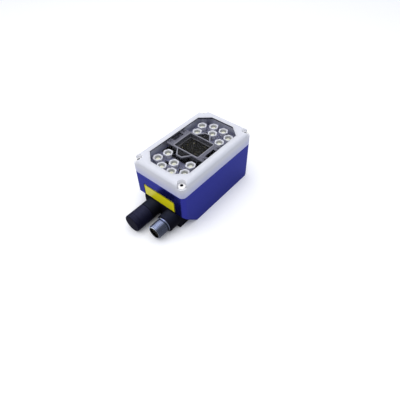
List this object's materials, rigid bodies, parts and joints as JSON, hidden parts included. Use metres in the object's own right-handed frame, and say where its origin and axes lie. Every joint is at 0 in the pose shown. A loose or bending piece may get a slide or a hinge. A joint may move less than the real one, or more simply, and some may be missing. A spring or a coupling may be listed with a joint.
{
  "type": "barcode reader",
  "caption": "Fixed-mount industrial barcode reader: cast housing, pale bezel with a lit camera window, and a swivelling block of round screw connectors, one under a dust cap.",
  "frame": {"origin": "centre of the mounting holes on the back face", "axes": "+Z out of the window, -Y the way the connectors point, +X across the width"},
  "size_m": [0.052, 0.1114, 0.0483],
  "materials": {
    "housing_paint": "semi-gloss blue paint on a casting",
    "bezel_plastic": "satin pale grey moulding",
    "screw_steel": "bright zinc-plated steel",
    "dark_screw": "blackened steel",
    "seal_rubber": "matt rubber",
    "window_glass": "clear polished pane",
    "shroud_plastic": "fine-grained dark grey moulding",
    "illuminator_laminate": "dark grey-violet solder mask",
    "board_laminate": "green solder mask",
    "turned_aluminium": "machined",
    "led_optic": "clear moulded optic in a bright cup",
    "led_chip": "yellow phosphor",
    "black_plastic": "black moulding",
    "chip_ceramic": "dark grey package",
    "black_anodised": "black anodised",
    "lens_glass": "coated optical glass",
    "pad_silicone": "soft grey silicone",
    "connector_plastic": "black satin moulding",
    "connector_nickel": "nickel-plated",
    "insert_plastic": "black moulding",
    "contact_gold": "gold-plated",
    "cap_plastic": "black satin moulding",
    "panel_film": "dark satin film",
    "button_rubber": "grey elastomer",
    "light_pipe": "clear light pipe",
    "label_film": "plain yellow film"
  },
  "bodies": {
    "reader_body": {"aimer_module_far": "black_plastic", "aimer_module_near": "black_plastic", "bezel_gasket": "seal_rubber", "bezel_screws": "screw_steel", "board_screws": "screw_steel", "button_panel": "panel_film", "camera_shroud": "shroud_plastic", "chassis_plate": "black_anodised", "chassis_screws": "screw_steel", "end_label": "label_film", "front_bezel": "bezel_plastic", "front_window": "window_glass", "housing": "housing_paint", "illuminator_board": "illuminator_laminate", "illuminator_screws": "dark_screw", "illuminator_standoffs": "turned_aluminium", "image_sensor": "chip_ceramic", "led_emitters": "led_chip", "led_lens_01": "led_optic", "led_lens_02": "led_optic", "led_lens_03": "led_optic", "led_lens_04": "led_optic", "led_lens_05": "led_optic", "led_lens_06": "led_optic", "led_lens_07": "led_optic", "led_lens_08": "led_optic", "led_lens_09": "led_optic", "led_lens_10": "led_optic", "led_lens_11": "led_optic", "led_lens_12": "led_optic", "led_lens_13": "led_optic", "led_lens_14": "led_optic", "lens_barrel": "black_anodised", "lens_glass": "lens_glass", "lens_holder": "black_anodised", "lens_lock_ring": "black_anodised", "pane_seal": "seal_rubber", "panel_board": "board_laminate", "panel_board_screws": "screw_steel", "processor_board": "board_laminate", "processor_chip": "chip_ceramic", "sensor_board": "board_laminate", "sensor_board_screws": "screw_steel", "shroud_screws": "dark_screw", "stacking_connector": "black_plastic", "status_lights": "light_pipe", "tact_switch": "black_plastic", "thermal_pad": "pad_silicone"},
    "connector_turret": {"connector_block": "connector_plastic", "swivel_seal": "seal_rubber", "swivel_clip": "screw_steel", "power_connector_shell": "connector_nickel", "power_connector_insert": "insert_plastic", "power_connector_pins": "contact_gold", "network_connector_shell": "connector_nickel", "network_connector_insert": "insert_plastic", "network_connector_shield": "connector_nickel"},
    "network_cap": {"dust_cap": "cap_plastic", "dust_cap_seal": "seal_rubber"},
    "button": {"teach_button": "button_rubber"}
  },
  "joints": [
    {"name": "connector_swivel", "type": "hinge", "parent": "reader_body", "child": "connector_turret", "pos_m": [0, -0.03545, 0.00715], "axis": [0, -0.7071, -0.7071], "range_deg": [0, 180]},
    {"name": "dust_cap_pull", "type": "slide", "parent": "connector_turret", "child": "network_cap", "axis": [0, -1, 0], "range_m": [0, 0.018]},
    {"name": "teach_button_press", "type": "slide", "parent": "reader_body", "child": "button", "axis": [0, -1, 0], "range_m": [0, 0.0005], "stiffness_N_per_m": 800}
  ]
}
